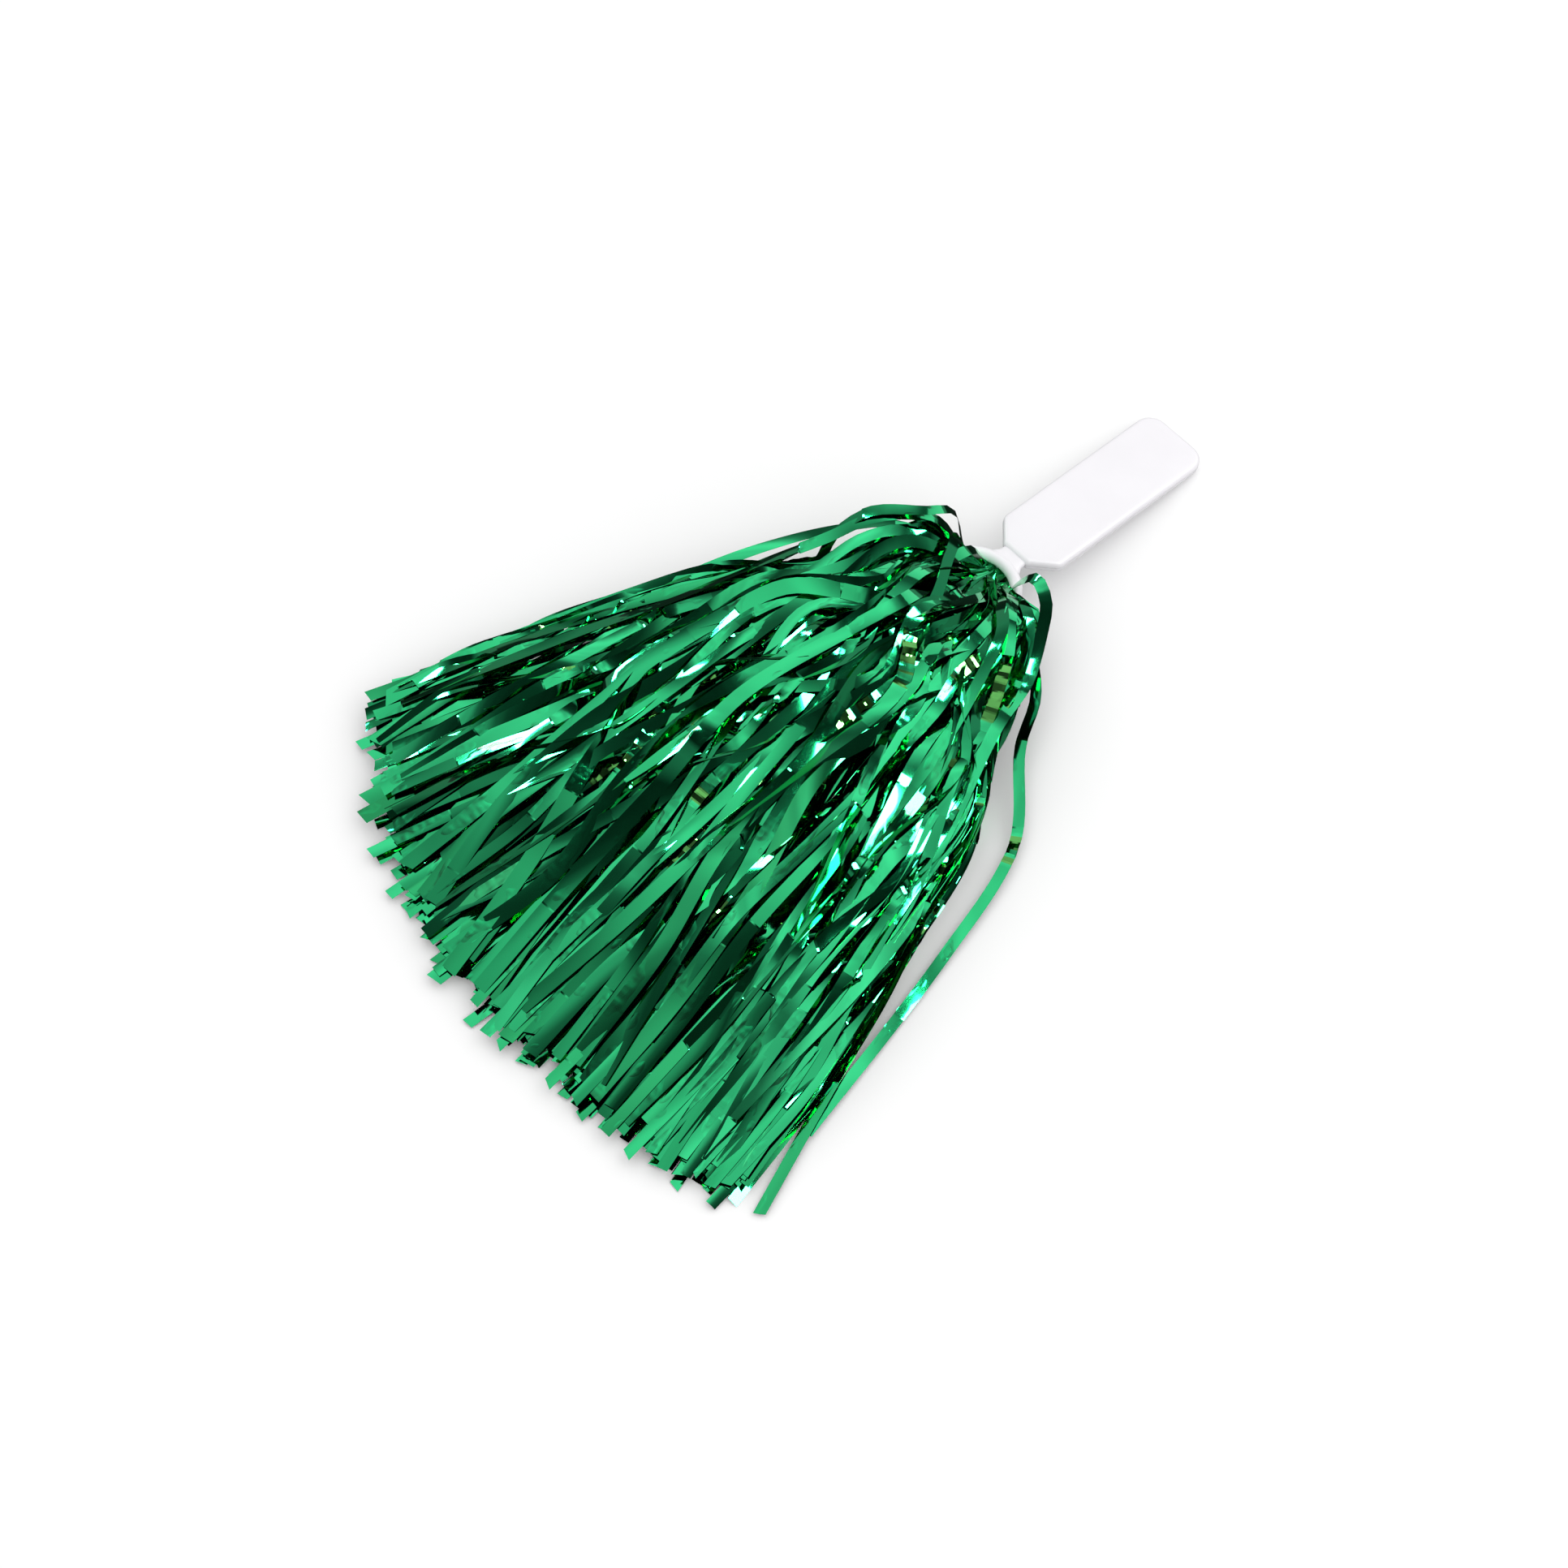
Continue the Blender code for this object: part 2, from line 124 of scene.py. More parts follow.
FOLD_LAYERS, FOLDS_IN_LAYER = 5, 4  # the strips' middles, round the bar
FOLD_RIGHT, FOLD_PITCH = -0.0080, 0.0053  # the rightmost one's place, and the next one's distance
FOLD_SCATTER = 0.0003
FOLD_RADIUS, FOLD_DEPTH = 0.0079, 0.0030  # of the innermost layer, and how much further the outermost lies
LEG_HEIGHT, LEG_SPREAD = 0.0036, 0.0044  # the same for the legs, from the ring's plane
LEG_ENDS = (0.0002, 0.0060)  # from the end of the CAD's legs: where a leg starts, and where it bends
FOLD_ARC = (80, 45, 0, -45, -80)  # degrees round the bar
ROOT_CUT = 0.0950  # reach at which a strip's root piece ends
FLARE_CUT = 0.1700  # and its middle piece, on the outermost tufts

# ------------------------------ the fan
RING_HALF_WIDTH = 0.0480  # level with the ring
CROWN_REACH = 0.0300  # of the loops in front of the ring's centre
LEFT_SPREAD = 0.462  # half width gained for each metre of reach
RIGHT_SPREAD, RIGHT_CURVE = 0.43, 0.45
TIP_MARGIN = 0.009
STICK_OUT, STICK_OUT_CHANCE = 0.010, 0.13  # how far single strips stick out of the ragged end, at most
RAGGED = (-0.005, 0.004)  # the other strips' ends: the mean and the spread
LEFT_SHORTER = 0.074  # how much less the side reaches than the middle
RIGHT_SHORTER, RIGHT_CORNER = 0.008, 0.012
MIDDLE_HEIGHT, MIDDLE_DROP = 0.0240, 0.0180  # of the surface between the two layers
RIDGE_SLOPE, RIDGE_CURVE = 0.30, 0.42  # how the ridge falls from the crown to the tips
SIDE_DROP = 0.85  # how much lower the fan's top lies at its sides than at the ridge
FLAT_FROM, FLAT_OVER, FLAT_BY = 0.180, 0.110, 0.55  # reach over which the fan flattens, and by how much
FAN_STATIONS = 5  # points of a strip's way through the fan
HEIGHT_SCATTER, LOWEST = 0.0014, 0.0006

# ------------------------------ where strips start, under the ring's bar
WIDEST_TURN = math.radians(85)  # the way that the outermost strips leave the ring
TURN_SCATTER, SIDE_SCATTER = 0.20, 0.18  # of the way it leaves, and of its place across the ring
WIDEST_START = 0.88  # of the start circle's radius, to either side
RISE, LOOSE_RISE = 0.0110, 0.0200  # over the bar
HIGH_SWING, SIDE_SWING = 0.0030, 0.35  # high strips swing out further, and those at the sides less far
BAR_GAP, SIDE_GAP = 0.0005, 0.0035  # least height over the bar's plane, and what is added at the sides
LANDING_WIDTHS, LANDING_HEIGHTS = (0.72, 0.92), (0.85, 1.0)  # shares of the fan's where a strip joins it
TOP_ROOT, BOTTOM_ROOT = 0.0135, 0.0110  # radius of the circle inside the ring that each layer starts on
START_DEPTH = 0.0025  # beneath the ring's plane
HIDDEN_START, HIDDEN_DEPTH = 1.22, 0.0032  # top strips begin further out and deeper, hidden by the bar
RISE_STAGES = ((0.0070, 0.02), (0.0170, 0.22), (0.0290, 0.50))  # from the start, and share of the rise
LANDING, EARLIEST_LANDING = 0.0520, 0.0250  # from the start and from the ring, where a strip joins the fan
FAN_GAP, EARLIEST_FAN = 0.030, 0.055  # from there, and from the ring, to its first point in the fan
DRIFT, LOOSE_DRIFT = 0.12, 0.27  # how far aside of its tip a strip starts, as a share of the half width
LOOP_SWAY, SWAY, LOOSE_SWAY = 0.030, 0.035, 0.075  # how far it sways on its way, in the same measure

# Loops that stand out of the crown. Each row says at what share of the fan's width the tip lies, how far the
# strip leans over in degrees, and its first points: ahead of the ring's centre, left of it and above the
# floor, in mm.
LOOPS = (
    (
        0.66,
        60,
        ((6, 11, 22), (10, 18, 32), (12, 25, 44), (1, 32, 49), (-15, 50, 45), (-30, 56, 36), (-46, 52, 32)),
    ),
    (0.90, 25, ((5, 12, 22), (8, 20, 31), (5, 28, 41), (-6, 38, 46), (-18, 48, 43), (-34, 56, 37))),
    (0.97, 30, ((4, 12, 20), (6, 23, 28), (3, 33, 35), (-8, 44, 38), (-24, 54, 36), (-44, 63, 31))),
    (0.40, -8, ((2, 9, 25), (-3, 17, 38), (-14, 26, 48), (-28, 30, 52), (-45, 31, 50), (-66, 32, 45))),
    (0.34, 5, ((5, 8, 25), (-2, 11, 37), (-19, 14, 47), (-36, 16, 50), (-58, 25, 47))),
    (-0.04, 0, ((6, 4, 24), (-4, 8, 38), (-20, 11, 49), (-38, 9, 54), (-57, 6, 54), (-86, 1, 49))),
    (0.26, 4, ((4, -8, 25), (-8, -11, 38), (-24, -9, 49), (-46, -2, 54), (-68, 5, 52), (-90, 17, 47))),
    (-0.05, 0, ((14, 7, 22), (11, 11, 30), (-13, 12, 40), (-33, 10, 47), (-54, 6, 50), (-87, 1, 49))),
    (-0.42, -30, ((7, -8, 24), (2, -15, 30), (-9, -22, 38), (-26, -27, 46), (-45, -30, 47), (-69, -35, 46))),
    (-0.78, -34, ((9, -9, 22), (4, -19, 34), (-8, -29, 42), (-20, -40, 42), (-37, -50, 38), (-53, -57, 33))),
    (-0.90, -10, ((7, -11, 21), (5, -24, 33), (-2, -35, 37), (-14, -44, 35), (-32, -52, 32))),
    (-0.97, -30, ((8, -10, 20), (12, -16, 34), (14, -23, 43), (10, -33, 40), (2, -39, 33), (-16, -49, 26))),
    (-0.50, 6, ((-2, -5, 24), (-8, -14, 31), (-17, -29, 40), (-29, -34, 45), (-46, -35, 47), (-62, -40, 47))),
    (0.00, -30, ((5, 12, 22), (10, 18, 30), (6, 17, 38), (-5, 11, 42), (-23, 0, 45), (-38, -5, 46))),
    (0.55, -10, ((3, 10, 24), (-2, 22, 38), (-12, 34, 45), (-28, 42, 46), (-52, 46, 43))),
    (-0.62, 10, ((5, -8, 24), (-4, -20, 38), (-16, -32, 45), (-34, -40, 45), (-58, -48, 42))),
)

# Loose strips that bow out of the fan's sides: the lean, and points along the whole strip, as above.
STRAYS = (
    (
        0,
        ((3, -12, 20), (-1, -30, 27), (-17, -55, 22), (-37, -66, 14))
        + ((-68, -94, 6), (-128, -111, 4), (-224, -129, 3)),
    ),
    (
        0,
        ((5, -8, 22), (-8, -24, 36), (-40, -48, 34), (-90, -78, 24))
        + ((-150, -105, 10), (-205, -122, 4), (-262, -141, 2)),
    ),
    (
        25,
        ((2, 12, 24), (-4, 38, 34), (-22, 56, 32), (-52, 74, 29))
        + ((-84, 88, 25), (-140, 106, 17), (-214, 134, 3)),
    ),
)
STRAY_TOP_START = 0.022  # strays that start higher than this belong to the top layer


def smooth_step(x):
    """From 0 to 1, with a soft start and end."""
    x = np.clip(x, 0, 1)
    return x * x * (3 - 2 * x)


# ------------------------------ the fan's shape; reach is measured back from the ring's centre
def fan_half_width(reach, share):
    """The fan spreads more on its left side than on its right."""
    front = RING_HALF_WIDTH * np.sqrt(np.clip(1 - (reach / CROWN_REACH) ** 2, 0, 1))
    behind = LEFT_SPREAD * reach if share > 0 else RIGHT_SPREAD * reach - RIGHT_CURVE * reach**2
    return np.where(reach < 0, front, RING_HALF_WIDTH + behind)


def tip_reach(share):
    """The fan is cut shorter on its left side, and a few strips stick out of its ragged end."""
    uneven = rng.uniform(0, STICK_OUT) if rng.random() < STICK_OUT_CHANCE else rng.normal(*RAGGED)
    if share > 0:
        return FAN_LENGTH - TIP_MARGIN - LEFT_SHORTER * share**2 + uneven
    return FAN_LENGTH - TIP_MARGIN - RIGHT_SHORTER * abs(share) - RIGHT_CORNER * share**6 + uneven


def fan_middle(reach):
    """The height at which the top layer meets the bottom layer."""
    return MIDDLE_HEIGHT - MIDDLE_DROP * (reach - FLOP_REACH) / (FAN_LENGTH - FLOP_REACH)


def fan_top(reach, share):
    """The height of the fan's upper surface, highest along its middle."""
    along = np.clip((reach - FLOP_REACH) / (FAN_LENGTH - FLOP_REACH), 0, 1)
    ridge = CROWN_TOP * (1 - RIDGE_SLOPE * along - RIDGE_CURVE * along**2)
    middle = fan_middle(reach)
    return middle + (ridge - middle) * (1 - SIDE_DROP * abs(share) ** 2.5)


def ring_plane(reach):
    """The height of the tilted ring's middle plane."""
    return RING[2] + reach * math.tan(PITCH)


# ------------------------------ lines
def lengths_along(p):
    """The length of the line up to each of its points."""
    return np.concatenate([[0], np.cumsum(np.linalg.norm(np.diff(p, axis=0), axis=1))])


def at_lengths(at, along, p):
    """The line's points at other lengths."""
    return np.stack([np.interp(at, along, p[:, k]) for k in range(p.shape[1])], 1)


def through(points):
    """Close points on a centripetal Catmull-Rom curve through the route's own points."""
    p = np.asarray(points, float)
    p = np.vstack([2 * p[0] - p[1], p, 2 * p[-1] - p[-2]])
    knots = np.concatenate([[0], np.cumsum(np.linalg.norm(np.diff(p, axis=0), axis=1) ** 0.5)])
    dense = []
    for i in range(1, len(p) - 2):
        t0, t1, t2, t3 = knots[i - 1 : i + 3]
        t = np.linspace(t1, t2, 16, endpoint=False)[:, None]
        a1 = (t1 - t) / (t1 - t0) * p[i - 1] + (t - t0) / (t1 - t0) * p[i]
        a2 = (t2 - t) / (t2 - t1) * p[i] + (t - t1) / (t2 - t1) * p[i + 1]
        a3 = (t3 - t) / (t3 - t2) * p[i + 1] + (t - t2) / (t3 - t2) * p[i + 2]
        b1 = (t2 - t) / (t2 - t0) * a1 + (t - t0) / (t2 - t0) * a2
        b2 = (t3 - t) / (t3 - t1) * a2 + (t - t1) / (t3 - t1) * a3
        dense.append((t2 - t) / (t2 - t1) * b1 + (t - t1) / (t2 - t1) * b2)
    return np.vstack([*dense, p[-2]])


def wave(at, spacing, size):
    """A smooth random value at each length."""
    knots = max(4, int(at[-1] / spacing) + 2)
    places = np.linspace(0, at[-1], knots)
    line = through(np.stack([places, rng.normal(0, size, knots)], 1))
    return np.interp(at, line[:, 0], line[:, 1])


def unit(v):
    """Vectors scaled to a length of 1."""
    return v / np.linalg.norm(v, axis=-1, keepdims=True)


def clear_of_ring(p):
    """Push a line's points out of the ring's bar."""
    local = (p - RING) @ np.array(RING_PLACE.to_3x3())
    out = np.linalg.norm(local[:, :2], axis=1)
    gap = np.stack([out - RING_RADIUS, local[:, 2]], 1)
    size = np.linalg.norm(gap, axis=1)
    grow = np.maximum((BAR_RADIUS + BAR_CLEARANCE) / np.maximum(size, 1e-6), 1)
    moved = gap * grow[:, None]
    local[:, :2] *= ((RING_RADIUS + moved[:, 0]) / np.maximum(out, 1e-6))[:, None]
    local[:, 2] = moved[:, 1]
    return RING + local @ np.array(RING_PLACE.to_3x3()).T


# ------------------------------ one strip
def fan_points(share, start_share, level, top, first, sway=LOOP_SWAY):
    """A strip's way through the fan to its tip, from the reach called first, as (reach, left, height)."""
    tip = tip_reach(share)
    reaches = np.linspace(first, tip, FAN_STATIONS)
    drift = rng.normal(0, sway, len(reaches))
    points = []
    for reach, aside in zip(reaches, drift):
        left = (tip - reach) / (tip - first)  # 1 at the first point and 0 at the tip
        q = float(np.clip(share + (start_share - share) * left**1.3 + aside * left, -1, 1))
        middle = float(fan_middle(reach))
        low, high = (middle, float(fan_top(reach, q))) if top else (0.0, middle)
        z = low + (high - low) * level
        z *= 1 - FLAT_BY * float(smooth_step((reach - FLAT_FROM) / FLAT_OVER))
        z += rng.normal(0, HEIGHT_SCATTER) * left
        points.append((reach, q * float(fan_half_width(reach, q)), max(z, LOWEST)))
    return points


def strip_route(top, share, level, scatter=1.0):
    """The middle line of one strip, from inside the ring to its tip, as world points.

    Share is where the tip lies, from -1 at the fan's right side to 1 at its left. Level is how high the strip
    lies in its layer, from 0 to 1. Scatter sets how untidily it starts.
    """
    side = 1 if top else -1
    lift = level if top else 1 - level
    loose = lift > LOOSE_LEVEL
    turn = WIDEST_TURN * share + rng.normal(0, TURN_SCATTER * scatter)
    root = TOP_ROOT if top else BOTTOM_ROOT
    across = 0.95 * share + rng.normal(0, SIDE_SCATTER * scatter)
    y0 = root * float(np.clip(across, -WIDEST_START, WIDEST_START))
    r0 = -math.sqrt(root**2 - y0**2) * (0.15 + 0.85 * min(lift, 1))  # the outer strips start in front
    rise = (LOOSE_RISE if loose and top else RISE) * lift * (1 - 0.8 * abs(share) ** 1.5)
    over_bar = BAR_GAP + SIDE_GAP * abs(share)
    line = [(r0, y0, ring_plane(r0) - START_DEPTH)]
    if top:
        line.insert(0, (HIDDEN_START * r0, HIDDEN_START * y0, ring_plane(r0) - HIDDEN_DEPTH))
    for swing, up in RISE_STAGES:
        ahead = (swing + HIGH_SWING * lift) * (1 - SIDE_SWING * abs(share))
        r, y = r0 + ahead * math.cos(turn), y0 + ahead * math.sin(turn)
        line.append((r, y, ring_plane(r) + side * (over_bar + rise * up * rng.uniform(0.9, 1.1))))
    r4 = max(r0 + LANDING, EARLIEST_LANDING)
    y4 = share * fan_half_width(r4, share) * rng.uniform(*LANDING_WIDTHS)
    middle = float(fan_middle(r4))
    outside = float(fan_top(r4, share)) if top else 0
    line.append((r4, y4, middle + (outside - middle) * lift * rng.uniform(*LANDING_HEIGHTS)))
    start_share = share + rng.normal(0, LOOSE_DRIFT if loose else DRIFT)
    first = max(r4 + FAN_GAP, EARLIEST_FAN)
    line += fan_points(share, start_share, level, top, first, LOOSE_SWAY if loose else SWAY)
    return np.array([(RING[0] - r, y, z) for r, y, z in line])


def placed(points):
    """A loop's or stray's own points, in the world."""
    return [(RING[0] + x / 1000, y / 1000, z / 1000) for x, y, z in points]


def loop_route(share, points):
    """A loop's own points, and then its way through the fan to its tip."""
    first = placed(points)
    reach = RING[0] - first[-1][0]
    start_share = first[-1][1] / float(fan_half_width(reach, first[-1][1]))
    rest = fan_points(share, start_share, 1.0, True, reach + FAN_GAP)
    return np.array(first + [(RING[0] - r, y, z) for r, y, z in rest])


def crease_places(length, lively):
    """Where a strip is creased across: here and there, and on some strips in one tight pleated run."""
    places = list(np.cumsum(rng.uniform(*CREASE_GAPS, MOST_CREASES) / max(lively, 0.4)))
    if rng.random() < 0.28 + 0.22 * lively:
        start = rng.uniform(*PLEAT_PLACE) * length
        places += list(start + np.cumsum(rng.uniform(*PLEAT_GAPS, rng.integers(*PLEATS))))
    places = np.sort([c for c in places if SMOOTH_START < c < length - SMOOTH_END])
    return places[np.diff(places, prepend=0) > 3 * CREASE]


class Strip:
    """One foil strip: stations along its middle line, and its directions at each of them.

    Lively is 1 for a loose strip and less for one that is creased, turned and twisted less. Lean, in degrees,
    tips it over to one side where it leaves the ring.
    """

    def __init__(self, route, width, lively=1.0, lean=0.0, last_normal=(0, 0, 1)):
        line = clear_of_ring(through(route))
        along = lengths_along(line)
        length = along[-1]
        creases = crease_places(length, lively)
        edges = np.concatenate([creases - CREASE, creases + CREASE])
        at = np.unique(np.concatenate([np.arange(0, length - STEP / 2, STEP), [length], edges]))
        p = at_lengths(at, along, line)
        loose = 1 - smooth_step((RING[0] - p[:, 0] - SETTLE_FROM) / SETTLE_OVER)
        tangent = unit(np.gradient(p, at, axis=0))
        normal = self.carried(tangent, last_normal)
        leaning = math.radians(lean) * (1 - smooth_step(at / LEAN_FADE - 0.4))
        roll = self.roll(at, creases, loose, lively) + leaning
        side = np.cross(tangent, normal)
        normal = normal * np.cos(roll)[:, None] + side * np.sin(roll)[:, None]
        p = p + normal * self.crook(at, creases, loose, lively)[:, None]
        tangent = unit(np.gradient(p, at, axis=0))
        normal = unit(normal - tangent * np.sum(normal * tangent, axis=1)[:, None])
        self.across = np.cross(tangent, normal)
        lowest = 0.5 * width * np.abs(self.across[:, 2]) + FOIL_THICKNESS + FLOOR_CLEARANCE
        p[:, 2] = np.maximum(p[:, 2], lowest)  # nothing goes through the surface that it lies on
        self.points, self.normal, self.at, self.width = p, normal, at, width
        self.creased = np.isin(at, edges)
        self.reach = RING[0] - p[:, 0]
        self.bow = wave(at, BOW_SPACING, BOW_HEIGHT)
        self.offset = rng.random() * PATTERN_LENGTH
        # each station's tone, or 1 where the olive painted reflection of a pleat's glint goes
        self.tone = self.shades_and_painted_glints(at, edges)
        self.cut_slope = rng.normal(0, ASKEW)

    @staticmethod
    def carried(tangent, last_normal):
        """The face's direction, carried without twist from the tip back to the root."""
        normal = np.empty_like(tangent)
        carried = np.array(last_normal, float)
        for k in range(len(tangent) - 1, -1, -1):
            carried = carried - tangent[k] * (carried @ tangent[k])
            carried /= math.sqrt(carried @ carried)
            normal[k] = carried
        return normal

    @staticmethod
    def roll(at, creases, loose, lively):
        """How far the face turns: a turn near the ring, slow waves, steps at the creases, and half twists."""
        places = np.stack([creases - CREASE, creases + CREASE], 1).reshape(-1)
        apart = smooth_step(np.diff(creases, prepend=0) / APART)
        size = STEP_TURN + LOOSE_STEP_TURN * lively * np.interp(creases, at, loose) * apart
        values = np.concatenate([[0], rng.normal(0, 1, len(creases)) * size])
        steps = np.interp(at, np.concatenate([[0], places, [at[-1]]]), np.repeat(values, 2))
        slow = wave(at, SLOW_SPACING, SLOW_TURN + LOOSE_SLOW_TURN * lively)
        slow = slow * (SLOW_SETTLED + (1 - SLOW_SETTLED) * loose) * smooth_step(at / SLOW_START)
        near_ring = rng.normal(0, NEAR_TURN * lively) * smooth_step(at / NEAR_START)
        near_ring *= 1 - smooth_step((at - NEAR_FADE_FROM) / NEAR_FADE_OVER)
        roll = steps + slow + near_ring
        if rng.random() < TWIST_CHANCE * lively:
            start = rng.uniform(*TWIST_PLACE) * at[-1]
            spread = rng.uniform(*TWIST_LENGTH)
            roll += math.pi * rng.choice((-1, 1)) * smooth_step((at - start) / spread)
        return roll

    @staticmethod
    def crook(at, creases, loose, lively):
        """How far each crease stands off the strip's smooth line."""
        corners = np.concatenate([[0], creases, [at[-1]]])
        gaps = np.diff(corners)
        short = np.minimum(gaps[1:], gaps[:-1])
        size = np.where(short < PLEAT, PLEAT_SLOPE * short, np.minimum(CREASE_SLOPE * short, CREASE_HEIGHT))
        size += CREASE_LEAST
        size *= (0.3 + 0.7 * np.interp(creases, at, loose)) * (0.35 + 0.65 * lively)
        heights = rng.normal(0, 1, len(creases)) * size
        return np.interp(at, corners, np.concatenate([[0], heights, [0]]))

    @staticmethod
    def shades_and_painted_glints(at, edges):
        """The film's shade: one for the strip, a little changed at each crease, and 1 on the pleated facets
        painted olive, a painted reflection of their glints.
        """
        facets = rng.normal(rng.uniform(*SHADES), SHADE_STEP, len(edges) // 2 + 1)
        folds = np.sort(edges)[1::2]
        short = np.diff(np.concatenate([[0], folds, [at[-1]]])) < PLEAT
        # pleated facets get the value 1: the olive, a painted reflection and not the film's own colour
        facets[short & (rng.random(len(facets)) < PAINTED_GLINT_SHARE)] = 1.0
        return np.clip(facets[np.searchsorted(folds, at, side="left")], 0, 1)

    def cut(self, reach):
        """The last station before the strip passes a reach for good."""
        return int(np.nonzero(self.reach < reach)[0][-1])


# ------------------------------ meshes
def ribbon_mesh(name, runs):
    """One mesh of thin closed ribbons: each run is (strip, first station, last station)."""
    verts, faces, uvs, tones_and_glints, sharp_rows = [], [], [], [], []
    base = 0
    for strip, first, last in runs:
        part = slice(first, last + 1)
        p, n = strip.points[part], strip.normal[part]
        half = strip.across[part] * strip.width / 2
        bow = n * strip.bow[part, None]
        thick = n * FOIL_THICKNESS / 2
        left, right = p - half, p + half
        if last == len(strip.at) - 1:  # the tip is cut a little askew
            slant = (p[-1] - p[-2]) / np.linalg.norm(p[-1] - p[-2]) * strip.cut_slope * strip.width
            left[-1] -= slant
            right[-1] += slant
        rows = [left + thick, p + bow + thick, right + thick]
        rows += [right - thick, p + bow - thick, left - thick]
        count = last - first + 1
        verts.append(np.stack(rows, 1).reshape(-1, 3))
        along = np.repeat(strip.at[part], CORNERS).reshape(count, CORNERS)
        u = np.broadcast_to(np.array([0, 0.5, 1, 1, 0.5, 0]), (count, CORNERS))
        uvs.append(np.stack([u, along + strip.offset], 2).reshape(-1, 2))
        tones_and_glints.append(np.repeat(strip.tone[part], CORNERS))
        sharp = strip.creased[part].copy()
        sharp[[0, -1]] = True
        sharp_rows.append(np.repeat(sharp, CORNERS))
        i = np.arange(count - 1)[:, None] * CORNERS + base
        k = np.arange(CORNERS)[None, :]
        j = (k + 1) % CORNERS
        quads = np.stack([i + k, i + j, i + j + CORNERS, i + k + CORNERS], 2).reshape(-1, 4)
        end = base + CORNERS * (count - 1)
        caps = [[base, base + 5, base + 4, base + 1], [base + 1, base + 4, base + 3, base + 2]]
        caps += [[end, end + 1, end + 4, end + 5], [end + 1, end + 2, end + 3, end + 4]]
        faces.append(np.vstack([quads, caps]))
        base += CORNERS * count
    verts, faces = np.vstack(verts), np.vstack(faces)
    mesh = bpy.data.meshes.new(name)
    mesh.from_pydata(verts.tolist(), [], faces.tolist())
    uv = mesh.uv_layers.new(name="UVMap")
    uv.data.foreach_set("uv", np.vstack(uvs)[faces.reshape(-1)].astype(np.float32).reshape(-1))
    tone = mesh.attributes.new("tone", "FLOAT", "POINT")
    tone.data.foreach_set("value", np.concatenate(tones_and_glints).astype(np.float32))
    sharpen(mesh, np.concatenate(sharp_rows))
    return mesh


def sharpen(mesh, creased):
    """Sharp edges along each ribbon's borders and across it at the creases, and smooth everywhere else."""
    ends = np.empty(len(mesh.edges) * 2, dtype=np.int32)
    mesh.edges.foreach_get("vertices", ends)
    a, b = ends.reshape(-1, 2).T
    same_row = a // CORNERS == b // CORNERS
    border = ~same_row & np.isin(a % CORNERS, (0, 2, 3, 5))
    sharp = border | (same_row & creased[a])
    mesh.shade_smooth()
    mesh.attributes.new("sharp_edge", "BOOLEAN", "EDGE").data.foreach_set("value", sharp)
    mesh.update()


def add(name, mesh, finish):
    """A new object in the scene, with one material."""
    obj = bpy.data.objects.new(name, mesh)
    bpy.context.scene.collection.objects.link(obj)
    obj.data.materials.clear()
    obj.data.materials.append(finish)
    return obj


def rounded(corners, steps=7):
    """A closed outline with its corners rounded: each corner is (x, y, radius)."""
    points = []
    for k, (x, y, radius) in enumerate(corners):
        here = Vector((x, y))
        back = (Vector(corners[k - 1][:2]) - here).normalized()
        on = (Vector(corners[(k + 1) % len(corners)][:2]) - here).normalized()
        half = back.angle(on) / 2
        centre = here + (back + on).normalized() * radius / math.sin(half)
        start = here + back * radius / math.tan(half) - centre
        end = here + on * radius / math.tan(half) - centre
        turn = start.angle_signed(end)
        points += [centre + Matrix.Rotation(-turn * i / steps, 2) @ start for i in range(steps + 1)]
    return points


def handle_outline(start, end, side, inset):
    """The handle's outline, from the neck round to the neck, moved in by the inset."""
    side, slope = side - inset, SHOULDER - inset * (2 - math.sqrt(2))
    start, end = start + inset, end - inset
    return rounded(
        [
            (start, slope - side, NECK_CORNER),
            (start + slope, -side, SHOULDER_CORNER - inset),
            (end, -side, END_CORNER - inset),
            (end, side, END_CORNER - inset),
            (start + slope, side, SHOULDER_CORNER - inset),
            (start, side - slope, NECK_CORNER),
        ]
    )


def local_box(node):
    """A node's box in the ring's frame."""
    mesh = frame["nodes"][node].data
    corners = np.array([RING_PLACE.inverted() @ v.co for v in mesh.vertices])
    return corners.min(axis=0), corners.max(axis=0)


def band(bm, near, far):
    """Faces between two closed rows of corners."""
    for i in range(len(near)):
        j = (i + 1) % len(near)
        bm.faces.new((near[i], near[j], far[j], far[i]))


def capped_tube(bm, rows):
    """Faces from row to row, and one to close each end."""
    for near, far in zip(rows, rows[1:]):
        band(bm, near, far)
    bm.faces.new(rows[0])
    bm.faces.new(rows[-1])


def shell_mesh(name, side):
    """Half of the handle, with its edge rounded."""
    low, high = local_box(name)
    start, end, half_width = low[0], high[0], high[1]
    top = max(abs(low[2]), abs(high[2])) - FACE_SINK
    profile = [(0.0, SHELL_GAP)]
    for k in range(EDGE_STEPS + 1):
        turn = math.pi / 2 * k / EDGE_STEPS
        profile.append((EDGE_ROUND * (1 - math.cos(turn)), top - EDGE_ROUND * (1 - math.sin(turn))))
    profile.append((2 * EDGE_ROUND, top))
    bm = bmesh.new()
    rows = []
    for inset, height in profile:
        outline = handle_outline(start, end, half_width, inset)
        rows.append([bm.verts.new((x, y, side * height)) for x, y in outline])
    capped_tube(bm, rows)
    return finished_mesh(bm, name, 40)


def finished_mesh(bm, name, sharp_angle):
    """A mesh from one built in the ring's frame, with its edges sharp above an angle in degrees."""
    bmesh.ops.recalc_face_normals(bm, faces=bm.faces)
    mesh = bpy.data.meshes.new(name)
    bm.to_mesh(mesh)
    bm.free()
    mesh.transform(RING_PLACE)
    mesh.shade_smooth()
    mesh.set_sharp_from_angle(angle=math.radians(sharp_angle))
    return mesh


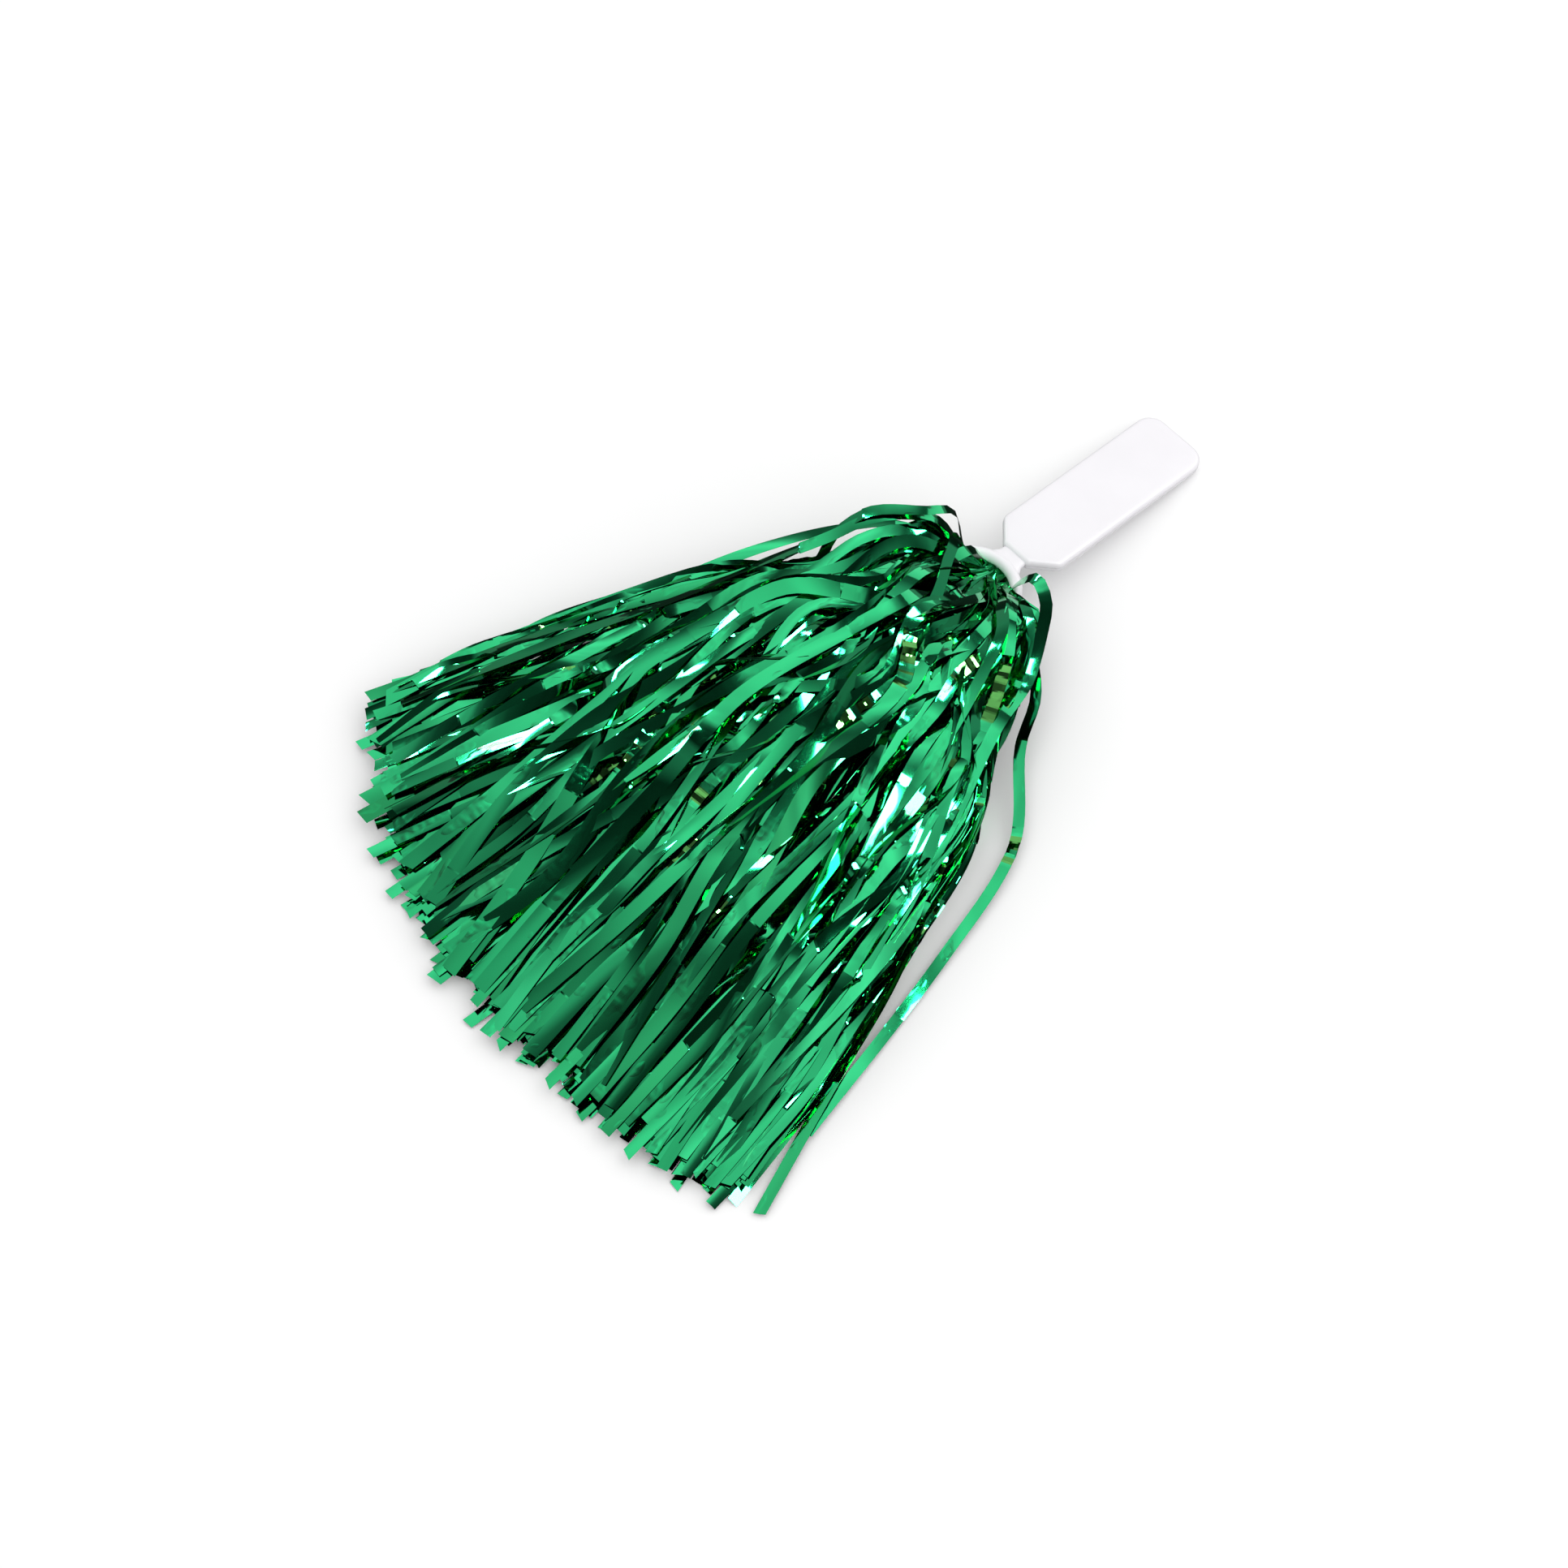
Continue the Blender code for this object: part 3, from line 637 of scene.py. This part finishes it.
def ring_mesh():
    """The ring with its neck flowing into it, and the tongue inside the handle."""
    tongue_end = local_box("ring_and_stem")[1][0]
    handle_start = local_box("handle_front_shell")[0][0]
    bm = bmesh.new()
    rows = []
    for i in range(RING_STEPS):
        turn = 2 * math.pi * i / RING_STEPS
        row = []
        for k in range(BAR_STEPS):
            roll = 2 * math.pi * k / BAR_STEPS
            out = RING_RADIUS + BAR_RADIUS * math.cos(roll)
            up = BAR_RADIUS * math.sin(roll)
            row.append(bm.verts.new((out * math.cos(turn), out * math.sin(turn), up)))
        rows.append(row)
    for i in range(RING_STEPS):
        band(bm, rows[i], rows[(i + 1) % RING_STEPS])
    neck = [  # place along X, half width and half height
        (RING_RADIUS, 0.0088, 0.0021),
        (RING_RADIUS + 0.0020, 0.0080, 0.0021),
        (RING_RADIUS + 0.0036, 0.0068, 0.0017),
        (handle_start - 0.0008, NECK_HALF_WIDTH, 0.0016),
        (handle_start + 0.0006, NECK_HALF_WIDTH - 0.0004, 0.0013),
        (tongue_end, 0.0050, 0.0013),
    ]
    loft(bm, neck)
    return finished_mesh(bm, "ring_and_stem", 50)


def loft(bm, stations):
    """A bar with a rounded oblong section that changes from station to station along X."""
    rows = []
    for x, half_y, half_z in stations:
        row = []
        for k in range(NECK_STEPS):
            turn = 2 * math.pi * (k + 0.5) / NECK_STEPS
            c, s = math.cos(turn), math.sin(turn)
            y = half_y * math.copysign(abs(c) ** NECK_SQUARE[0], c)
            z = half_z * math.copysign(abs(s) ** NECK_SQUARE[1], s)
            row.append(bm.verts.new((x, y, z)))
        rows.append(row)
    capped_tube(bm, rows)


# ------------------------------ materials
FOIL_SHADES_AND_GLINT = (  # the strip's tone, and its colour; the last one is the olive, a painted reflection of the glints on pleated facets
    (0.0, (0.005, 0.27, 0.085)),
    (0.4, (0.009, 0.40, 0.140)),
    (0.9, (0.018, 0.48, 0.180)),
    # painted reflection: the olive glint of pleated facets
    (0.98, (0.070, 0.30, 0.060)),
)
PLEAT_PATTERN, PATCH_PATTERN = (0.3, 300, 1), (0.5, 40, 3)  # noise across a strip and along it
MOTTLE_SCALE, GRAIN_SCALE = 35, 1800


def new_material(name):
    """A material with its nodes, its links and its shader."""
    made = bpy.data.materials.new(name)
    made.use_nodes = True
    nodes = made.node_tree.nodes
    return made, nodes, made.node_tree.links, nodes["Principled BSDF"]


def noise(nodes, links, vector, scale, stretch=(1, 1, 1), detail=2.0):
    """A noise texture on a coordinate, stretched first."""
    mapping = nodes.new("ShaderNodeMapping")
    mapping.inputs["Scale"].default_value = stretch
    links.new(vector, mapping.inputs["Vector"])
    texture = nodes.new("ShaderNodeTexNoise")
    texture.inputs["Scale"].default_value = scale
    texture.inputs["Detail"].default_value = detail
    links.new(mapping.outputs["Vector"], texture.inputs["Vector"])
    return texture.outputs["Fac"]


def ramp(nodes, links, value, stops):
    """A colour ramp: each stop is (position, colour)."""
    made = nodes.new("ShaderNodeValToRGB")
    elements = made.color_ramp.elements
    while len(elements) < len(stops):
        elements.new(0.5)
    for element, (position, colour) in zip(elements, stops):
        element.position = position
        element.color = (*colour, 1)
    links.new(value, made.inputs["Fac"])
    return made.outputs["Color"]


def grey_ramp(nodes, links, value, stops):
    """A colour ramp in greys: each stop is (position, grey)."""
    return ramp(nodes, links, value, [(position, (grey, grey, grey)) for position, grey in stops])


def span(nodes, links, value, low, high, to_low, to_high):
    """A value mapped from one range to another."""
    made = nodes.new("ShaderNodeMapRange")
    limits = {"From Min": low, "From Max": high, "To Min": to_low, "To Max": to_high}
    for name, number in limits.items():
        made.inputs[name].default_value = number
    links.new(value, made.inputs["Value"])
    return made.outputs["Result"]


def bump(nodes, links, height, strength, distance, shader):
    """Bumps on a shader, from a height."""
    made = nodes.new("ShaderNodeBump")
    made.inputs["Strength"].default_value = strength
    made.inputs["Distance"].default_value = distance
    links.new(height, made.inputs["Height"])
    links.new(made.outputs["Normal"], shader.inputs["Normal"])


def foil_material():
    """Green metallised film in each strip's own shade, with a few facets painted olive as a painted reflection
    of pleat glints, and patches of fine pleats.
    """
    made, nodes, links, shader = new_material("green_foil")
    shader.inputs["Metallic"].default_value = 1.0
    shader.inputs["Coat Weight"].default_value = 0.40
    shader.inputs["Coat Roughness"].default_value = 0.03
    tone = nodes.new("ShaderNodeAttribute")
    tone.attribute_name = "tone"
    uv = nodes.new("ShaderNodeUVMap").outputs["UV"]
    # the ramp's last stop paints the olive reflection onto pleated facets
    links.new(ramp(nodes, links, tone.outputs["Fac"], FOIL_SHADES_AND_GLINT), shader.inputs["Base Color"])
    pleats = noise(nodes, links, uv, 1.0, PLEAT_PATTERN, detail=0)
    where = noise(nodes, links, uv, 1.0, PATCH_PATTERN)
    height = nodes.new("ShaderNodeMath")
    height.operation = "MULTIPLY"
    links.new(pleats, height.inputs[0])
    links.new(span(nodes, links, where, 0.58, 0.66, 0.0, 1.0), height.inputs[1])
    bump(nodes, links, height.outputs["Value"], 0.45, 0.0004, shader)
    links.new(span(nodes, links, where, 0.3, 0.7, 0.04, 0.11), shader.inputs["Roughness"])
    return made


def plastic_material(name, colour, roughness):
    """Moulded plastic: a faint mottle in colour and gloss, and a fine grain."""
    made, nodes, links, shader = new_material(name)
    place = nodes.new("ShaderNodeTexCoord").outputs["Object"]
    cloud = noise(nodes, links, place, MOTTLE_SCALE, detail=4)
    dim = tuple(c * 0.97 for c in colour)
    links.new(ramp(nodes, links, cloud, [(0.3, dim), (0.7, colour)]), shader.inputs["Base Color"])
    bump(nodes, links, noise(nodes, links, place, GRAIN_SCALE), 0.12, 0.0002, shader)
    gloss = span(nodes, links, cloud, 0, 1, roughness * 0.85, roughness * 1.2)
    links.new(gloss, shader.inputs["Roughness"])
    shader.inputs["Subsurface Weight"].default_value = 0.08
    shader.inputs["Subsurface Radius"].default_value = (0.004, 0.004, 0.004)
    return made


FOIL = foil_material()
WHITE = plastic_material("white_plastic", (0.83, 0.815, 0.845), 0.42)
CLEAR = plastic_material("tie_plastic", (0.78, 0.80, 0.78), 0.40)


def tuft_strips(layer, column):
    """The strips of one column of one layer: covers, the tuft's own strips, and any loops and strays."""
    low, high = 2 * column / COLUMNS - 1, 2 * (column + 1) / COLUMNS - 1
    made = []
    if layer == "top":  # the calm, wide strips that cover the others where they leave the ring
        for share in (0.75 * low + 0.25 * high, 0.25 * low + 0.75 * high):
            lean = rng.normal(-24, 3) if rng.random() < 0.4 else rng.normal(4, 16)  # the first ones glint
            route = strip_route(True, share, COVER_LEVEL - 0.2 * abs(share), COVER_SCATTER)
            made.append(Strip(route, STRIP_WIDTH * COVER_WIDER, COVER_LIFE, lean))
    for k in range(STRIPS_IN_TUFT):
        share = low + (high - low) * (k + rng.uniform(0.1, 0.9)) / STRIPS_IN_TUFT
        level = rng.uniform(0.85, 1.05) if rng.random() < 0.25 else rng.uniform(0.02, 0.75)
        width = STRIP_WIDTH * rng.choice((1, 1, 1, 1, 1, WIDER))
        if layer == "top" and level > LOOSE_LEVEL:
            lively, lean = rng.uniform(0.50, 0.95), rng.normal(0, 28)
        else:
            lively, lean = 1.0, 0.0
        made.append(Strip(strip_route(layer == "top", share, level), width, lively, lean))
    if layer == "top":
        for share, lean, points in LOOPS:
            if low <= share < high:
                width = STRIP_WIDTH * LOOP_WIDER
                made.append(Strip(loop_route(share, points), width, LOOP_LIFE, lean))
    for lean, points in STRAYS:
        route = np.array(placed(points))
        own_column = COLUMNS - 1 if route[-1, 1] > 0 else 0
        own_layer = "top" if route[0, 2] > STRAY_TOP_START else "bottom"
        if (layer, column) == (own_layer, own_column):
            made.append(Strip(route, STRIP_WIDTH, STRAY_LIFE, lean))
    return made


def build_tuft(layer, column):
    """One column of one layer, as two pieces, or three where the tuft can flare, cut at the same stations."""
    strips = tuft_strips(layer, column)
    number = column + 1
    outer = column in (0, COLUMNS - 1)
    root = [(s, 0, s.cut(ROOT_CUT)) for s in strips]
    obj = add(f"{layer}_strips_{number}_root", ribbon_mesh("root", root), FOIL)
    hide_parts(f"{layer}_bend_{number}", f"{layer}_streamers_{number}")
    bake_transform(obj)
    ends = [(s, s.cut(ROOT_CUT), len(s.at) - 1) for s in strips]
    if outer:
        tips = [(s, s.cut(FLARE_CUT), last) for s, _, last in ends]
        ends = [(s, first, s.cut(FLARE_CUT)) for s, first, _ in ends]
        tip = add(f"{layer}_strips_{number}_tips", ribbon_mesh("tips", tips), FOIL)
        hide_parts(f"{layer}_tips_{number}")
        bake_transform(tip)
    name = f"{layer}_strips_{number}_{'middle' if outer else 'tips'}"
    obj = add(name, ribbon_mesh("ends", ends), FOIL)
    if not outer:
        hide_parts(f"{layer}_tips_{number}")
    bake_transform(obj)


def build_fold():
    """The strips' middles: folded round the ring's bar, with both legs pressed together by the tie."""
    legs_end = local_box("tied_fold")[0][0]
    arc = [math.radians(a) for a in FOLD_ARC]
    strips = []
    for layer in range(FOLD_LAYERS):
        outward = layer / (FOLD_LAYERS - 1)
        radius = FOLD_RADIUS + FOLD_DEPTH * outward
        leg = LEG_HEIGHT + LEG_SPREAD * outward
        half = [(legs_end + along, leg) for along in LEG_ENDS]
        route = half + [(radius * math.cos(a) - RING_RADIUS, radius * math.sin(a)) for a in arc]
        route += [(x, -z) for x, z in reversed(half)]
        for k in range(FOLDS_IN_LAYER):
            y = FOLD_RIGHT + FOLD_PITCH * k + rng.normal(0, FOLD_SCATTER)
            line = np.array([RING_PLACE @ Vector((x, y, z)) for x, z in route])
            strips.append(Strip(line, STRIP_WIDTH, FOLD_LIFE, 0.0, -RING_UP))
    runs = [(s, 0, len(s.at) - 1) for s in strips]
    obj = add("folded_middles", ribbon_mesh("fold", runs), FOIL)
    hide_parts("tied_fold")
    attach(obj, "bundle")


def build_handle():
    """The handle's two halves, and the ring."""
    for name, side in (("handle_front_shell", 1), ("handle_rear_shell", -1)):
        obj = add(name.replace("shell", "half"), shell_mesh(name, side), WHITE)
        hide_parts(name)
        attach(obj, "handle")
    obj = add("moulded_ring", ring_mesh(), WHITE)
    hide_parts("ring_and_stem")
    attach(obj, "handle")


def finish_tie():
    """The cable tie keeps its own shape, and gets a material."""
    tie = frame["nodes"]["cable_tie"]
    tie.data.materials.clear()
    tie.data.materials.append(CLEAR)


# ------------------------------ camera, light and floor
CAMERA_ELEVATION, CAMERA_TURN = math.radians(62), math.radians(-43.7)
CAMERA_DISTANCE, CAMERA_LENS, CAMERA_SENSOR = 2.04, 109.5, 36  # metres, and two in millimetres
CAMERA_TARGET = Vector((RING[0] - 0.1168, -0.0037, 0))
LIGHT_DISTANCE, LIGHT_TARGET = 1.6, (0, 0, 0.02)
GLINTS = (  # name, direction, size in metres, watts per square metre
    ("key", (0.42, -0.44, 0.79), (0.58, 0.48), 115),
    ("side", (0.78, -0.10, 0.62), (0.34, 0.26), 115),
    ("back", (0.10, 0.86, 0.50), (0.34, 0.22), 115),
    ("card", (0.88, 0.30, 0.34), (1.10, 0.60), 3.2),
)
FILL_DIRECTION, FILL_SIZE, FILL_POWER = (0.25, -0.35, 1.0), (3.2, 3.2), 12
BRIGHT_PATCH = (0.20, 0.33, 0.923)  # the direction of the bright patch of ceiling
CEILING = (  # cosine of the angle from there, and brightness
    (0.0, 0.02),
    (0.60, 0.03),
    (0.74, 0.07),
    (0.82, 0.18),
    (0.90, 0.62),
    (0.96, 1.16),
    (1.0, 1.26),
)
HORIZON = ((0.0, 0.0), (0.04, 0.36), (0.30, 0.36), (0.50, 0.0))  # sine of the elevation, and brightness
WALL = 0.95
FLOOR_SIZE, FLOOR_GREY = 8, 0.90


def look(obj, place, target):
    """Put a camera or a light at a place, turned to its target."""
    obj.location = place
    obj.rotation_euler = (Vector(target) - Vector(place)).to_track_quat("-Z", "Y").to_euler()


def camera():
    """The camera, above the tassel and turned so that the handle points away to the upper right."""
    level = math.cos(CAMERA_ELEVATION)
    sideways, forwards = math.sin(CAMERA_TURN) * level, -math.cos(CAMERA_TURN) * level
    back = Vector((sideways, forwards, math.sin(CAMERA_ELEVATION)))
    data = bpy.data.cameras.new("camera")
    data.sensor_width = CAMERA_SENSOR
    data.lens = CAMERA_LENS
    obj = bpy.data.objects.new("camera", data)
    bpy.context.scene.collection.objects.link(obj)
    look(obj, CAMERA_TARGET + back * CAMERA_DISTANCE, CAMERA_TARGET)
    bpy.context.scene.camera = obj


def softbox(name, direction, size, power):
    """A rectangular area light in this direction, with its power in watts."""
    data = bpy.data.lights.new(name, "AREA")
    data.shape = "RECTANGLE"
    data.size, data.size_y = size
    data.energy = power
    obj = bpy.data.objects.new(name, data)
    bpy.context.scene.collection.objects.link(obj)
    look(obj, Vector(direction).normalized() * LIGHT_DISTANCE, LIGHT_TARGET)
    return obj


def lights():
    """Softboxes that only glint on the foil, and a large one that lights everything but isn't mirrored."""
    for name, direction, size, brightness in GLINTS:
        glint = softbox(name, direction, size, brightness * size[0] * size[1])
        glint.visible_diffuse = False
    fill = softbox("fill", FILL_DIRECTION, FILL_SIZE, FILL_POWER)
    fill.visible_glossy = False  # it would lay a sheet of white on the foil


def world():
    """Glossy rays see a bright patch of ceiling, dim walls and a paler band round the horizon.

    Every other ray, the camera's included, sees an even, pale wall.
    """
    made = bpy.data.worlds.new("studio")
    bpy.context.scene.world = made
    made.use_nodes = True
    nodes, links = made.node_tree.nodes, made.node_tree.links
    sky = nodes["Background"]
    towards = nodes.new("ShaderNodeVectorMath")
    towards.operation = "DOT_PRODUCT"
    towards.inputs[1].default_value = BRIGHT_PATCH
    coordinate = nodes.new("ShaderNodeTexCoord").outputs["Generated"]
    links.new(coordinate, towards.inputs[0])
    links.new(grey_ramp(nodes, links, towards.outputs["Value"], CEILING), sky.inputs["Color"])
    cloud = noise(nodes, links, coordinate, 2.4, detail=1.0)
    links.new(span(nodes, links, cloud, 0.38, 0.62, 0.85, 1.50), sky.inputs["Strength"])
    apart = nodes.new("ShaderNodeSeparateXYZ")
    links.new(coordinate, apart.inputs["Vector"])
    horizon = nodes.new("ShaderNodeBackground")
    links.new(grey_ramp(nodes, links, apart.outputs["Z"], HORIZON), horizon.inputs["Color"])
    mirrored = nodes.new("ShaderNodeAddShader")
    links.new(sky.outputs["Background"], mirrored.inputs[0])
    links.new(horizon.outputs["Background"], mirrored.inputs[1])
    wall = nodes.new("ShaderNodeBackground")
    wall.inputs["Color"].default_value = (WALL, WALL, WALL, 1)
    path = nodes.new("ShaderNodeLightPath")
    mix = nodes.new("ShaderNodeMixShader")
    links.new(path.outputs["Is Glossy Ray"], mix.inputs["Fac"])
    links.new(wall.outputs["Background"], mix.inputs[1])
    links.new(mirrored.outputs["Shader"], mix.inputs[2])
    links.new(mix.outputs["Shader"], nodes["World Output"].inputs["Surface"])


def floor():
    """A plain, pale floor."""
    bpy.ops.mesh.primitive_plane_add(size=FLOOR_SIZE)
    obj = bpy.context.object
    obj.name = "floor"
    made, nodes, links, shader = new_material("floor")
    shader.inputs["Base Color"].default_value = (FLOOR_GREY, FLOOR_GREY, FLOOR_GREY, 1)
    shader.inputs["Roughness"].default_value = 0.6
    obj.data.materials.append(made)
    obj.visible_glossy = False  # the foil doesn't mirror it, so gaps between strips stay dark


for layer in ("bottom", "top"):
    for column in range(COLUMNS):
        build_tuft(layer, column)
build_fold()
build_handle()
finish_tie()
camera()
world()
floor()
lights()
bpy.context.scene.view_settings.view_transform = "Standard"
